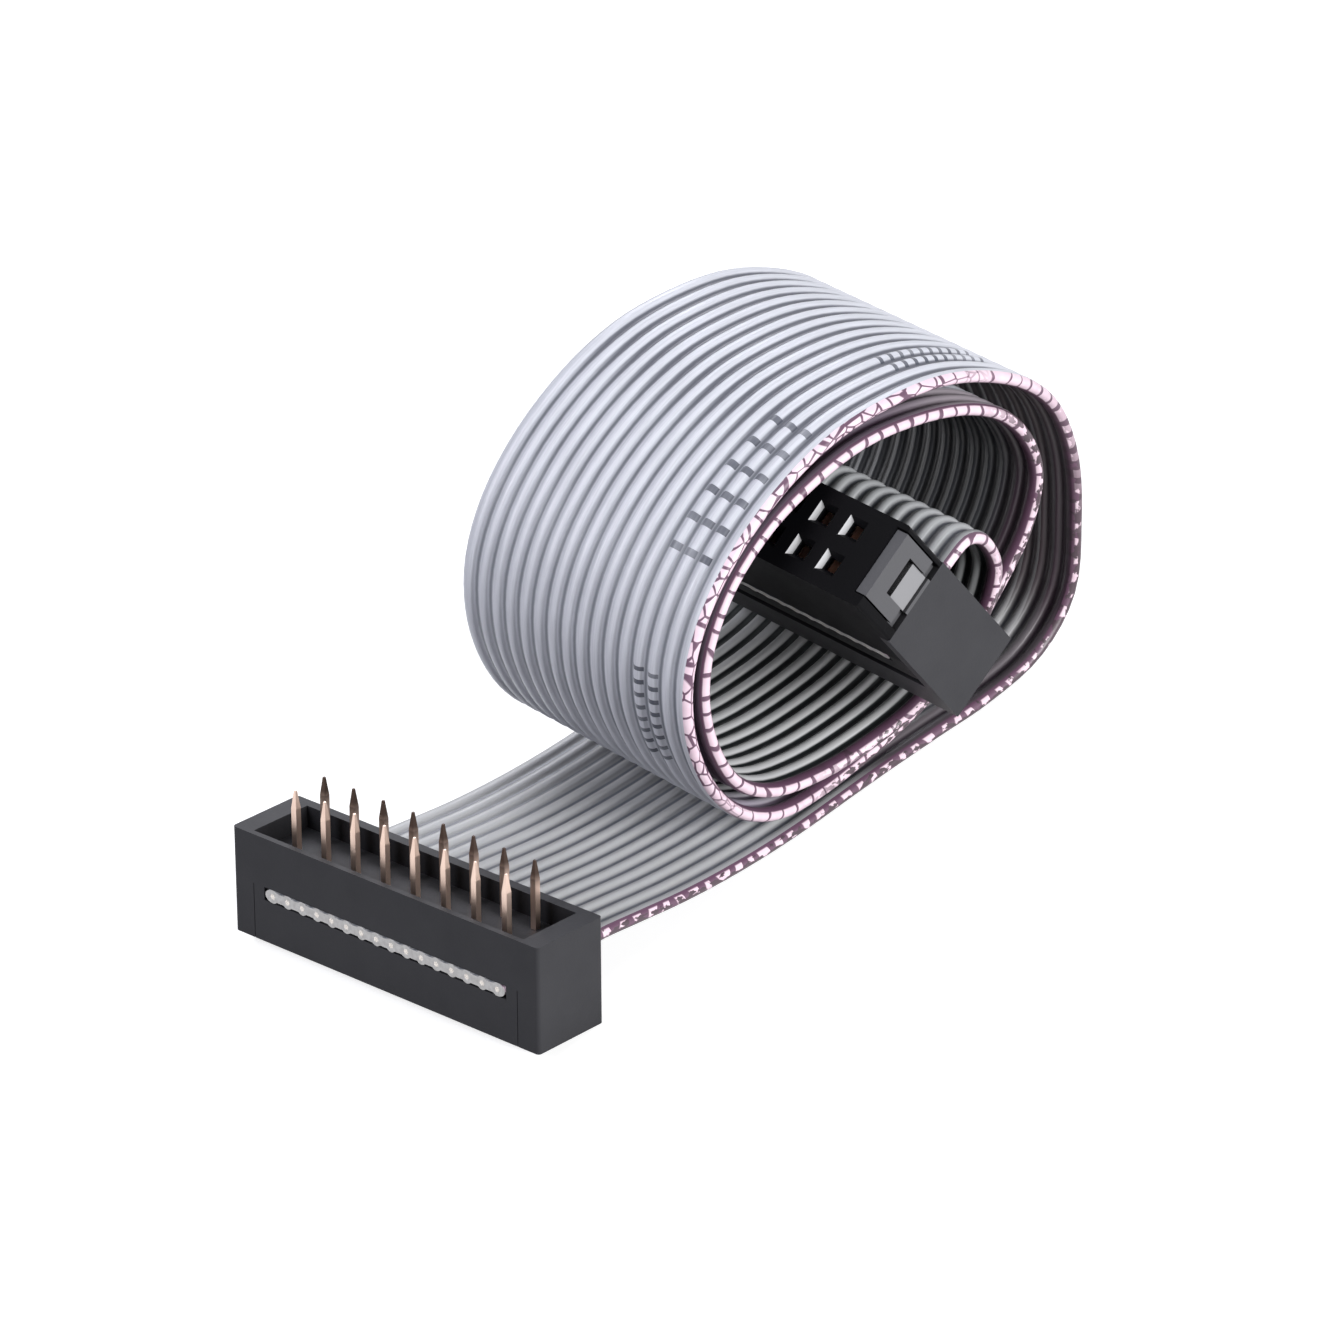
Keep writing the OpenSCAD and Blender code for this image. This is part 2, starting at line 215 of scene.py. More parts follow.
# Points along the ribbon's mid-line: x, y, height above the surface, and how far
# the ribbon has taken up the coil's lean (0 flat, 1 fully leaned).
RUN = [
    (0, 0.0065, 0.0032, 0), (0, 0.01, 0.0025, 0), (0, 0.0139, 0.0017, 0), (0, 0.0179, 0.0011, 0),
    (0, 0.0219, 0.0007, 0), (0, 0.0259, 0.0005, 0), (0, 0.0299, 0.00045, 0), (0.0001, 0.0339, 0.00045, 0),
    (0.0003, 0.0385, 0.00045, 0), (0.0006, 0.0436, 0.0006, 0.1),
    # outer turn, up and over
    (0.001, 0.0485, 0.0018, 0.4), (0.0015, 0.0519, 0.0051, 0.8), (0.002, 0.0528, 0.0102, 1),
    (0.0024, 0.0527, 0.0152, 1), (0.0026, 0.0513, 0.0196, 1), (0.0027, 0.0486, 0.0228, 1),
    (0.0026, 0.0449, 0.0252, 1), (0.0024, 0.0409, 0.0268, 1), (0.0021, 0.0364, 0.0275, 1),
    (0.0017, 0.0319, 0.0274, 1), (0.0013, 0.0274, 0.0262, 1), (0.001, 0.023, 0.024, 1),
    (0.0006, 0.0197, 0.0209, 1), (0.0003, 0.0178, 0.0174, 1), (0.0001, 0.0173, 0.0138, 1),
    (-0.0001, 0.0179, 0.0104, 1), (-0.0001, 0.0192, 0.0073, 1), (-0.0001, 0.0214, 0.0047, 1),
    # second turn, inside the first
    (0, 0.0244, 0.0031, 1), (0.0001, 0.0279, 0.0027, 1), (0.0002, 0.0319, 0.0029, 1),
    (0.0004, 0.0357, 0.0035, 1), (0.0007, 0.0389, 0.0045, 1), (0.001, 0.0419, 0.0062, 1),
    (0.0015, 0.0449, 0.0089, 1), (0.0022, 0.0476, 0.0123, 1), (0.0026, 0.0489, 0.016, 1),
    (0.0028, 0.0479, 0.0194, 1), (0.0027, 0.0457, 0.0221, 1), (0.0026, 0.0423, 0.0241, 1),
    (0.0024, 0.0381, 0.0254, 1), (0.002, 0.0337, 0.0259, 1), (0.0016, 0.0295, 0.0253, 1),
    (0.0012, 0.0254, 0.0239, 1), (0.0008, 0.022, 0.0215, 1), (0.0005, 0.0196, 0.0182, 1),
    (0.0004, 0.0186, 0.0146, 1), (0.0004, 0.019, 0.0109, 1), (0.0005, 0.0206, 0.0076, 1),
    (0.0008, 0.0234, 0.0056, 1), (0.0013, 0.0273, 0.0049, 1),
    # drifting along the coil and turning back into the socket
    (0.002, 0.0312, 0.0052, 1), (0.003, 0.0343, 0.0063, 1), (0.004, 0.0364, 0.008, 1),
    (0.0048, 0.0379, 0.0095, 1), (0.0054, 0.0389, 0.0111, 1), (0.0059, 0.0397, 0.0129, 1),
    (0.0062, 0.0401, 0.0148, 1), (0.0063, 0.0396, 0.0165, 1), (0.0064, 0.0386, 0.0178, 1),
    (0.0064, 0.0372, 0.0183, 1),
]


def header_frame():
    """Header's own frame: underside at z = 0."""
    return Matrix.Rotation(-HEADER_LEAN, 4, "X")


def coil_lean(k):
    return Matrix.Rotation(-COIL_YAW * k, 4, "Z") @ Matrix.Rotation(COIL_TILT * k, 4, "Y")


def socket_frame():
    """Socket's own frame: mating face at z = 0, ribbon leaves towards +Y."""
    return Matrix.Translation(SOCKET_AT) @ coil_lean(1) @ Matrix.Rotation(SOCKET_PITCH, 4, "X")


def route_points():
    """The ribbon's points as (place, lean), from the header's cut end to the socket's."""
    start = [HEADER_DEPTH * -0.5, HEADER_DEPTH * 0.5, HEADER_DEPTH * 0.5 + HEADER_LEAD]
    end = [SOCKET_THICK * 0.5 + SOCKET_LEAD, SOCKET_THICK * 0.5, SOCKET_THICK * -0.5]
    points = [(header_frame() @ Vector((0, y, HEADER_SLOT)), 0) for y in start]
    points += [(Vector((x, y, max(z, RIBBON_T / 2) + FLOOR_Z)), k) for x, y, z, k in RUN]
    points += [(socket_frame() @ Vector((0, y, -SOCKET_SLOT)), 1) for y in end]
    return points


def smooth_line(points, steps):
    """Catmull-Rom curve through (place, lean) points, with the same number of steps in each span."""
    line = []
    for i in range(len(points) - 1):
        p1, k1 = points[i]
        p2, k2 = points[i + 1]
        p0 = points[i - 1][0] if i > 0 else 2 * p1 - p2
        p3 = points[i + 2][0] if i + 2 < len(points) else 2 * p2 - p1
        for j in range(steps):
            u = j / steps
            place = 0.5 * (2 * p1 + (p2 - p0) * u + (2 * p0 - 5 * p1 + 4 * p2 - p3) * u * u
                           + (3 * p1 - p0 - 3 * p2 + p3) * u ** 3)
            line.append((place, k1 + (k2 - k1) * u))
    line.append(points[-1])
    return line


def ribbon_section(web):
    """The section's outline, anticlockwise: (across, up) from the ribbon's middle, for a web's thickness."""
    radius = RIBBON_T / 2
    # distances from a wire's middle, in wire pitches, where the outline has a point
    inner = [0.0, 0.10, 0.19, 0.26, 0.315]
    edge = [0.0, 0.17, 0.29, 0.38, 0.44, 0.475, 0.493]
    upper = []
    for wire in range(WIRES):
        middle = (wire - (WIRES - 1) / 2) * WIRE_PITCH
        left = edge if wire == 0 else inner + [0.5]
        right = edge if wire == WIRES - 1 else inner
        for step in sorted(set([-r for r in left] + right)):
            offset = step * WIRE_PITCH
            if (wire == 0 and step < 0) or (wire == WIRES - 1 and step > 0):
                height = radius * math.sqrt(max(0, 1 - (2 * step) ** 2))
            else:
                round_part = math.sqrt(max(0, radius ** 2 - offset ** 2))
                height = max(round_part, web / 2)
            upper.append((middle + offset, height))
    lower = [(x, -y) for x, y in upper]
    return [(-RIBBON_W / 2, 0)] + lower + [(RIBBON_W / 2, 0)] + list(reversed(upper))


def make_ribbon():
    """The ribbon as (object, mid-line points), swept along the route."""
    line = smooth_line(route_points(), STEPS_PER_SPAN)
    section, pressed = ribbon_section(WEB_T), ribbon_section(PRESSED_T)
    count = len(section)
    mesh = bpy.data.meshes.new("ribbon_strip")
    bm = bmesh.new()
    place_uv = bm.loops.layers.uv.new("across_along")
    skin_uv = bm.loops.layers.uv.new("face_height")
    rings, travelled = [], [0.0]
    for i, (place, lean) in enumerate(line):
        ahead = line[min(i + 1, len(line) - 1)][0]
        behind = line[max(i - 1, 0)][0]
        if i > 0:
            travelled.append(travelled[-1] + (place - line[i - 1][0]).length)
        along = (ahead - behind).normalized()
        across = coil_lean(lean).to_3x3() @ Vector((1, 0, 0))
        out = across.cross(along).normalized()
        clamped = i < CLAMPED_RINGS or i >= len(line) - CLAMPED_RINGS
        outline = pressed if clamped else section
        rings.append([bm.verts.new(place + across * x + out * y) for x, y in outline])
    for i in range(len(rings) - 1):
        for j in range(count):
            k = (j + 1) % count
            face = bm.faces.new((rings[i][j], rings[i][k], rings[i + 1][k], rings[i + 1][j]))
            face.smooth = True
            for loop, (s, t) in zip(face.loops, ((j, i), (k, i), (k, i + 1), (j, i + 1))):
                loop[place_uv].uv = (section[s][0] / WIRE_PITCH + WIRES / 2, travelled[t] / WIRE_PITCH)
                loop[skin_uv].uv = (section[s][1] / (RIBBON_T / 2), 0)
    for ring in (list(reversed(rings[0])), rings[-1]):
        bm.faces.new(ring).material_index = 1
    bmesh.ops.recalc_face_normals(bm, faces=bm.faces)
    bm.to_mesh(mesh)
    bm.free()
    return add_object("ribbon_strip", mesh), [place for place, _ in line]


def mix_colour(tree, share, a, b):
    return add_node(tree, "ShaderNodeMix", {"data_type": "RGBA"}, _0=share, _6=a, _7=b).outputs[2]


# Stretches of the ribbon, in wire pitches along it from the header's cut end
FLAT_RUN_END = (34.0, 44.0)
TAIL_START = (176.0, 181.0)
DARK_GROOVES = (56.0, 74.0)
SHADED_FLANK_STRETCH = (54.0, 76.0)
OUTER_TURN_GROOVES = (42.0, 74.0)
OUTER_TURN_INSIDE = (42.0, 76.0)
SECOND_TURN_INSIDE = (112.0, 148.0)
LARGE_PRINT = (73.0, 83.5)
SMALL_PRINT = ((60.5, 67.5), (88.6, 94.2))
CRAZED_INK = (64.0, 97.0)
SHADED_EDGE_STRETCHES = ((104.0, 131.0), (170.0, 184.0))
SHADED_EDGE_NEAR_FLAT = (38.0, 60.0)
GAP_SHADE_STRETCH = (122.0, 166.0)
SHADED_BETWEEN_TURNS = ((27.0, 56.0), (101.0, 130.0))
SMEARED_INK = (91.0, 101.0)
FADE = 2.5                 # half the length over which a stretch fades in and out

# Places across the ribbon, in wire pitches from its plain edge
LARGE_PRINT_WIRES = (12.1, 14.85)
SMALL_PRINT_WIRES = (12.1, 13.9)
MARKED_FROM = 15.70
GAP_SHADE_IN_FROM = 15.2
GAP_SHADE_OUT_FROM = 13.6


def ribbon_material():
    """Extruded PVC: satin, cool grey, with a darker web between ridges as painted shade, painted shade inside
    the coil and between its turns, and marks that ink rollers print.
    """
    material, tree = new_material("grey_pvc_extruded")

    def calc(kind, a, b=0.0, c=0.0):
        return add_node(tree, "ShaderNodeMath", {"operation": kind}, _0=a, _1=b, _2=c).outputs[0]

    def ramp(value, low, high, start=0.0, end=1.0):
        return add_node(tree, "ShaderNodeMapRange", {"interpolation_type": "SMOOTHSTEP"}, Value=value,
                        From_Min=low, From_Max=high, To_Min=start, To_Max=end).outputs[0]

    def blend(share, a, b):
        return mix_colour(tree, share, a, b)

    def noise(vector, scale, detail=2.0):
        return add_node(tree, "ShaderNodeTexNoise", Vector=vector, Scale=scale, Detail=detail).outputs["Fac"]

    def stretched(x, y):
        return add_node(tree, "ShaderNodeMapping", Vector=place.outputs[0], Scale=(x, y, 1.0)).outputs[0]

    # across and along in wire pitches; height from -1 on the coil's outer face to 1 on its inner face
    place = add_node(tree, "ShaderNodeUVMap", {"uv_map": "across_along"})
    split = add_node(tree, "ShaderNodeSeparateXYZ", Vector=place.outputs[0])
    across, along = split.outputs[0], split.outputs[1]
    skin = add_node(tree, "ShaderNodeUVMap", {"uv_map": "face_height"})
    height = add_node(tree, "ShaderNodeSeparateXYZ", Vector=skin.outputs[0]).outputs[0]

    # 0 at the web and 1 on the ridge; the rollers leave faint lengthwise draw lines
    ridge = calc("MULTIPLY", calc("PINGPONG", across, 0.5), 2.0)
    drawn = noise(stretched(14.0, 0.35), 1.0, 3.0)
    cloud = noise(stretched(1.2, 0.5), 0.6, 3.0)
    outer = calc("LESS_THAN", height, 0.0)
    inner = calc("SUBTRACT", 1.0, outer)
    # painted shade: the inner face is painted darker than the outer face, darker still on the flat run, and
    # the tail into the socket a darker grey
    tail = ramp(along, *TAIL_START)
    flat_run = blend(ramp(along, *FLAT_RUN_END), linear("#a4a4a4"), linear("#b8b8b8"))
    pvc = blend(outer, flat_run, linear("#d0d2db"))
    pvc = blend(calc("MULTIPLY", cloud, 0.35), pvc, linear("#a6a8ae"))
    pvc = blend(ramp(drawn, 0.35, 0.7, 0.0, 0.3), pvc, linear("#a2a4ab"))
    pvc = blend(calc("MULTIPLY", tail, 0.85), pvc, linear("#939596"))

    # thin grooves with painted shade, mid grey and dark navy over the coil's top; inside the coil the painted
    # shade is wide and dark, most of all under its top
    def stretch(low, high):
        return calc("MULTIPLY", ramp(along, low - FADE, low + FADE),
                    ramp(along, high - FADE, high + FADE, 1.0, 0.0))

    inside_second = stretch(*SECOND_TURN_INSIDE)
    groove = blend(stretch(*DARK_GROOVES), linear("#565a64"), linear("#23252f"))
    pvc = blend(ramp(ridge, 0.06, 0.36, 0.85, 0.0), pvc, groove)
    crest_side = ramp(ridge, 0.36, 0.52, 1.0, 0.0)
    # painted shade: the lower flanks of the outer face's ridges darken over the coil's top
    shaded_flanks = calc("MULTIPLY", calc("MULTIPLY", crest_side, stretch(*SHADED_FLANK_STRETCH)), outer)
    pvc = blend(calc("MULTIPLY", shaded_flanks, 0.85), pvc, linear("#4a4d5a"))
    wide = calc("ADD", calc("MULTIPLY", stretch(*OUTER_TURN_GROOVES), 0.42),
                calc("MULTIPLY", inside_second, 0.38))
    edge = calc("ADD", wide, 0.42)
    groove_shade = add_node(tree, "ShaderNodeMapRange", {"interpolation_type": "SMOOTHSTEP"}, Value=ridge,
                     From_Min=calc("SUBTRACT", edge, 0.07), From_Max=calc("ADD", edge, 0.07),
                     To_Min=1.0, To_Max=0.0).outputs[0]
    coiled = calc("MULTIPLY", inner, ramp(along, 38.0, 46.0))
    inside_outer = stretch(*OUTER_TURN_INSIDE)
    groove_shade_colour = blend(inside_outer, linear("#1d2123"), linear("#33262c"))
    pvc = blend(calc("MULTIPLY", groove_shade, coiled), pvc, groove_shade_colour)
    # painted shade: the whole inner face darkens inside the second turn and the outer turn
    pvc = blend(calc("MULTIPLY", calc("MULTIPLY", inside_second, inner), 0.62), pvc, linear("#26262c"))
    pvc = blend(calc("MULTIPLY", calc("MULTIPLY", inside_outer, inner), 0.5), pvc, linear("#3c2e34"))

    # short dashes that a print wheel leaves on the crests of the wires beside the marked one
    def between(value, low, high):
        return calc("MULTIPLY", calc("GREATER_THAN", value, low), calc("LESS_THAN", value, high))

    crest = ramp(ridge, 0.20, 0.34)
    beat = calc("FRACT", calc("MULTIPLY", along, 0.62))
    long_dash = calc("MULTIPLY", between(across, *LARGE_PRINT_WIRES), calc("LESS_THAN", beat, 0.24))
    small_beat = calc("FRACT", calc("MULTIPLY", along, 1.4))
    small_dash = calc("MULTIPLY", between(across, *SMALL_PRINT_WIRES), calc("LESS_THAN", small_beat, 0.35))
    small_places = calc("ADD", between(along, *SMALL_PRINT[0]), between(along, *SMALL_PRINT[1]))
    printed = calc("ADD", calc("MULTIPLY", long_dash, between(along, *LARGE_PRINT)),
                   calc("MULTIPLY", small_dash, small_places))
    ink = calc("MULTIPLY", calc("MULTIPLY", printed, outer), crest)
    pvc = blend(calc("MULTIPLY", ink, ramp(cloud, 0.3, 0.6, 0.65, 0.92)), pvc, linear("#3a3e4c"))

    # first-wire marking: pale pink ink round the edge in short blocks with maroon joints. The ink is
    # crazed where it was bent hardest. Painted shade: wider joints, maroon rims and a dark ragged under side
    edge_place = add_node(tree, "ShaderNodeCombineXYZ",
                          X=calc("MULTIPLY", height, 0.8), Y=along, Z=0.0).outputs[0]
    tilt = calc("MULTIPLY", calc("SUBTRACT", noise(stretched(0.0, 0.5), 1.0), 0.5), 1.6)
    slanted = calc("MULTIPLY_ADD", height, tilt, along)
    wobble = calc("MULTIPLY_ADD", noise(stretched(0.5, 0.45), 1.0), 1.4, slanted)
    step = calc("FRACT", calc("DIVIDE", wobble, 1.05))
    # painted shade: the joints are painted wider before the coil's top and a little wider from the second
    # turn on
    share = calc("ADD", ramp(along, 52.0, 61.0, 0.50, 0.14), ramp(along, 104.0, 116.0, 0.0, 0.08))
    joint = calc("SUBTRACT", 1.0, ramp(calc("SUBTRACT", step, share), -0.05, 0.04))
    cells = add_node(tree, "ShaderNodeTexVoronoi", {"feature": "DISTANCE_TO_EDGE"}, Vector=edge_place,
                     Scale=1.15, Randomness=0.9).outputs["Distance"]
    craze = ramp(cells, 0.045, 0.085, 1.0, 0.0)
    bent = stretch(*CRAZED_INK)
    line = calc("ADD", calc("MULTIPLY", joint, calc("SUBTRACT", 1.0, bent)),
                calc("MULTIPLY", craze, bent))
    # painted shade: the under side of the edge is painted dark maroon with a ragged border
    worn = noise(edge_place, 1.6, 3.0)
    shaded_edge_places = calc("ADD", stretch(*SHADED_EDGE_STRETCHES[0]), stretch(*SHADED_EDGE_STRETCHES[1]))
    under = calc("ADD", ramp(along, 46.0, 62.0, 1.0, 0.0), shaded_edge_places)
    lack = calc("MULTIPLY_ADD", calc("MULTIPLY", height, under), -0.22,
                calc("MULTIPLY_ADD", stretch(*SHADED_EDGE_NEAR_FLAT), 0.10, worn))
    ragged_shade = calc("MULTIPLY", ramp(lack, 0.44, 0.50), under)
    # painted shade: maroon rims line the pink band where the turns lie close
    shaded_outer_rim = calc("MULTIPLY", ramp(height, -0.66, -0.78), ramp(along, 94.0, 100.0))
    shaded_rim = calc("MAXIMUM", ramp(height, 0.62, 0.76), shaded_outer_rim)
    dark = calc("MAXIMUM", line, calc("MAXIMUM", shaded_rim, ragged_shade))
    pink = blend(noise(stretched(3.0, 1.5), 1.0), linear("#eedbe5"), linear("#dabccc"))
    maroon = blend(ragged_shade, linear("#52304a"), linear("#2a1322"))
    marking = blend(calc("MULTIPLY", dark, 0.95), pink, maroon)
    # painted shade: the marking is carried onto the inner face near the edge, filling the gap between turns
    # with maroon
    inner_corner = calc("MULTIPLY", calc("GREATER_THAN", across, GAP_SHADE_IN_FROM),
                        calc("GREATER_THAN", height, 0.3))
    gap_shade_in = calc("MULTIPLY", inner_corner, ramp(along, 40.0, 60.0))
    # painted shade: mauve to dark maroon on the outer face near the edge, in the gap between turns
    gap_shade_out = calc("MULTIPLY", calc("MULTIPLY", calc("GREATER_THAN", across, GAP_SHADE_OUT_FROM), outer),
                    stretch(*GAP_SHADE_STRETCH))
    gap_shade_colour = blend(ramp(along, 133.0, 140.0), linear("#8b8087"), linear("#4a2f45"))
    pvc = blend(calc("MULTIPLY", gap_shade_out, 0.85), pvc, gap_shade_colour)
    on_inner = calc("GREATER_THAN", height, 0.0)
    # painted shade: dark mauve on the inner face near the edge, between turns
    between_turns_shade = calc("MULTIPLY", calc("MULTIPLY", ramp(across, 13.2, 15.0), on_inner),
                  calc("ADD", stretch(*SHADED_BETWEEN_TURNS[0]), stretch(*SHADED_BETWEEN_TURNS[1])))
    pvc = blend(calc("MULTIPLY", between_turns_shade, 0.85), pvc, linear("#33202e"))
    smeared = calc("MULTIPLY", calc("MULTIPLY", ramp(across, 12.5, 14.5), on_inner), stretch(*SMEARED_INK))
    pvc = blend(calc("MULTIPLY", smeared, 0.85), pvc, linear("#8d8294"))
    marked = calc("MAXIMUM", calc("GREATER_THAN", across, MARKED_FROM), gap_shade_in)
    colour = blend(marked, pvc, marking)

    rough = ramp(drawn, 0.2, 0.8, 0.34, 0.48)
    spots = add_node(tree, "ShaderNodeTexCoord")
    grain = calc("ADD", noise(spots.outputs["Object"], 2600.0), calc("MULTIPLY", drawn, 1.5))
    bump = add_node(tree, "ShaderNodeBump", Strength=0.15, Distance=0.00003, Height=grain)
    body = add_node(tree, "ShaderNodeBsdfPrincipled", Base_Color=colour, Roughness=rough,
                    IOR=1.53, Normal=bump.outputs[0])
    add_node(tree, "ShaderNodeOutputMaterial", Surface=body.outputs[0])
    return material


def cut_pvc():
    """The same compound where a blade has sheared it: matt, paler, with stress marks."""
    material, tree = new_material("grey_pvc_sheared")
    spots = add_node(tree, "ShaderNodeTexCoord")
    marks = add_node(tree, "ShaderNodeTexNoise", Vector=spots.outputs["Object"], Scale=3500.0, Detail=3.0)
    colour = mix_colour(tree, marks.outputs["Fac"], linear("#ecebe8"), linear("#b4b1ad"))
    bump = add_node(tree, "ShaderNodeBump", Strength=0.5, Distance=0.00006, Height=marks.outputs["Fac"])
    body = add_node(tree, "ShaderNodeBsdfPrincipled", Base_Color=colour, Roughness=0.75,
                    IOR=1.53, Normal=bump.outputs[0])
    add_node(tree, "ShaderNodeOutputMaterial", Surface=body.outputs[0])
    return material


ribbon, ribbon_line = make_ribbon()
ribbon.data.materials.append(ribbon_material())
ribbon.data.materials.append(cut_pvc())
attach(ribbon, "root")
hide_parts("ribbon")


# ---- Strand ends ----------------------------------------------------------------
# Each wire is seven tinned copper strands, sheared flush with the ribbon and left
# just proud of the PVC at both cut ends.

STRANDS = 7
STRAND_D = 0.127 * MM
STRAND_PROUD = 0.02 * MM
STRAND_SIDES = 10
# (radius in strand diameters, height in STRAND_PROUD) of each ring of a strand's domed end
STRAND_RINGS = ((0.5, -0.2), (0.5, 0.7), (0.32, 1.0))
LAY_TURN = 0.7             # radians that the strands are turned from one wire to the next


def make_strand_ends():
    mesh = bpy.data.meshes.new("strand_ends")
    bm = bmesh.new()
    header_face = header_frame() @ Matrix.Translation((0, -HEADER_DEPTH / 2, HEADER_SLOT))
    socket_face = socket_frame() @ Matrix.Translation((0, -SOCKET_THICK / 2, -SOCKET_SLOT))
    for face_frame in (header_face, socket_face):
        for wire in range(WIRES):
            middle = (wire - (WIRES - 1) / 2) * WIRE_PITCH
            turn = LAY_TURN * wire
            for strand in range(STRANDS):
                angle = turn + strand * math.tau / (STRANDS - 1)
                reach = 0 if strand == STRANDS - 1 else STRAND_D
                x, z = middle + reach * math.cos(angle), reach * math.sin(angle)
                loops = []
                for radius, proud in STRAND_RINGS:
                    loops.append([bm.verts.new(face_frame @ Vector((
                        x + STRAND_D * radius * math.cos(math.tau * k / STRAND_SIDES),
                        -STRAND_PROUD * proud,
                        z + STRAND_D * radius * math.sin(math.tau * k / STRAND_SIDES),
                    ))) for k in range(STRAND_SIDES)])
                for low, high in zip(loops, loops[1:]):
                    for k in range(STRAND_SIDES):
                        after = (k + 1) % STRAND_SIDES
                        bm.faces.new((low[k], low[after], high[after], high[k]))
                bm.faces.new(loops[-1])
                bm.faces.new(list(reversed(loops[0])))
    bmesh.ops.recalc_face_normals(bm, faces=bm.faces)
    bm.to_mesh(mesh)
    bm.free()
    return add_object("strand_ends", mesh)


def tinned_copper():
    """Sheared tin-plated copper: dull silver with a warm cast where the blade dragged."""
    material, tree = new_material("tinned_copper_sheared")
    spots = add_node(tree, "ShaderNodeTexCoord")
    marks = add_node(tree, "ShaderNodeTexNoise", Vector=spots.outputs["Object"], Scale=9000.0, Detail=2.0)
    colour = mix_colour(tree, marks.outputs["Fac"], linear("#dddbd7"), linear("#c4bbb2"))
    body = add_node(tree, "ShaderNodeBsdfPrincipled", Base_Color=colour, Metallic=1.0,
                    Roughness=0.45, IOR=1.5)
    add_node(tree, "ShaderNodeOutputMaterial", Surface=body.outputs[0])
    return material


strand_ends = make_strand_ends()
strand_ends.data.materials.append(tinned_copper())
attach(strand_ends, "root")


# ---- Header body and clamping bar -----------------------------------------------
# Two mouldings in black glass-filled polyester. The bar is pressed up between the
# body's end posts and holds by friction.

CREVICE_REACH = 8 * MM
CREVICE_SHADE = 0.9
COARSE_EDGE = 0.12 * MM
FINE_EDGE = 0.08 * MM


def crevice_shade(tree, colour):
    """Painted shade: darkens a colour by ambient occlusion where other surfaces hem it in."""
    open_part = add_node(tree, "ShaderNodeAmbientOcclusion", {"samples": 8}, Distance=CREVICE_REACH)
    dark = add_node(tree, "ShaderNodeMapRange", {"interpolation_type": "SMOOTHSTEP"},
                    Value=open_part.outputs["AO"], From_Min=0.0, From_Max=0.8,
                    To_Min=CREVICE_SHADE, To_Max=0.0)
    return mix_colour(tree, dark.outputs[0], colour, linear("#121215"))


def moulded_plastic(name, base, dark, wear_and_painted_light=None, gloss=0.08):
    """Injection-moulded glass-filled polyester: matte, with the mould's fine spark texture."""
    material, tree = new_material(name)
    spots = add_node(tree, "ShaderNodeTexCoord")
    cloud = add_node(tree, "ShaderNodeTexNoise", Vector=spots.outputs["Object"], Scale=300.0, Detail=4.0)
    colour = mix_colour(tree, cloud.outputs["Fac"], linear(base), linear(dark))
    if wear_and_painted_light:
        colour = wear_and_painted_light(tree, spots.outputs["Object"], colour)
    grain = add_node(tree, "ShaderNodeTexNoise", Vector=spots.outputs["Object"], Scale=6000.0, Detail=2.0)
    bump = add_node(tree, "ShaderNodeBump", Strength=0.25, Distance=0.00003, Height=grain.outputs["Fac"])
    rough = add_node(tree, "ShaderNodeMapRange", Value=cloud.outputs["Fac"], To_Min=0.44, To_Max=0.56)
    # the base colour carries painted crevice shade
    body = add_node(tree, "ShaderNodeBsdfPrincipled", Base_Color=crevice_shade(tree, colour),
                    Roughness=rough.outputs[0], IOR=1.57, Normal=bump.outputs[0])
    body.inputs["Specular IOR Level"].default_value = gloss
    add_node(tree, "ShaderNodeOutputMaterial", Surface=body.outputs[0])
    return material


def dress(name, material, radius):
    """Gives a CAD node its material and softens its moulded or stamped edges."""
    node = nodes[name]
    node.data.materials.clear()
    node.data.materials.append(material)
    flat = node.modifiers.new("merge_coplanar", "DECIMATE")
    flat.decimate_type = "DISSOLVE"
    flat.angle_limit = math.radians(1)
    edge = node.modifiers.new("edge_radius", "BEVEL")
    edge.width = radius
    edge.segments = 3
    edge.limit_method = "ANGLE"
    edge.angle_limit = math.radians(30)
    edge.use_clamp_overlap = True


header_plastic = moulded_plastic("black_polyester_header", "#3b3b3e", "#333336")
dress("header_body", header_plastic, COARSE_EDGE)
dress("header_cover", header_plastic, FINE_EDGE)


# ---- Header contacts ------------------------------------------------------------
# Sixteen pieces stamped from copper alloy strip and plated: a square pin with a
# coined point, a shoulder, and a fork that straddles its wire.

PIN_TOP = 10.3 * MM
TARNISH_START, TARNISH_FULL = 2.2 * MM, 0.8 * MM      # below the pin's top
PIN_EDGE = 0.04 * MM


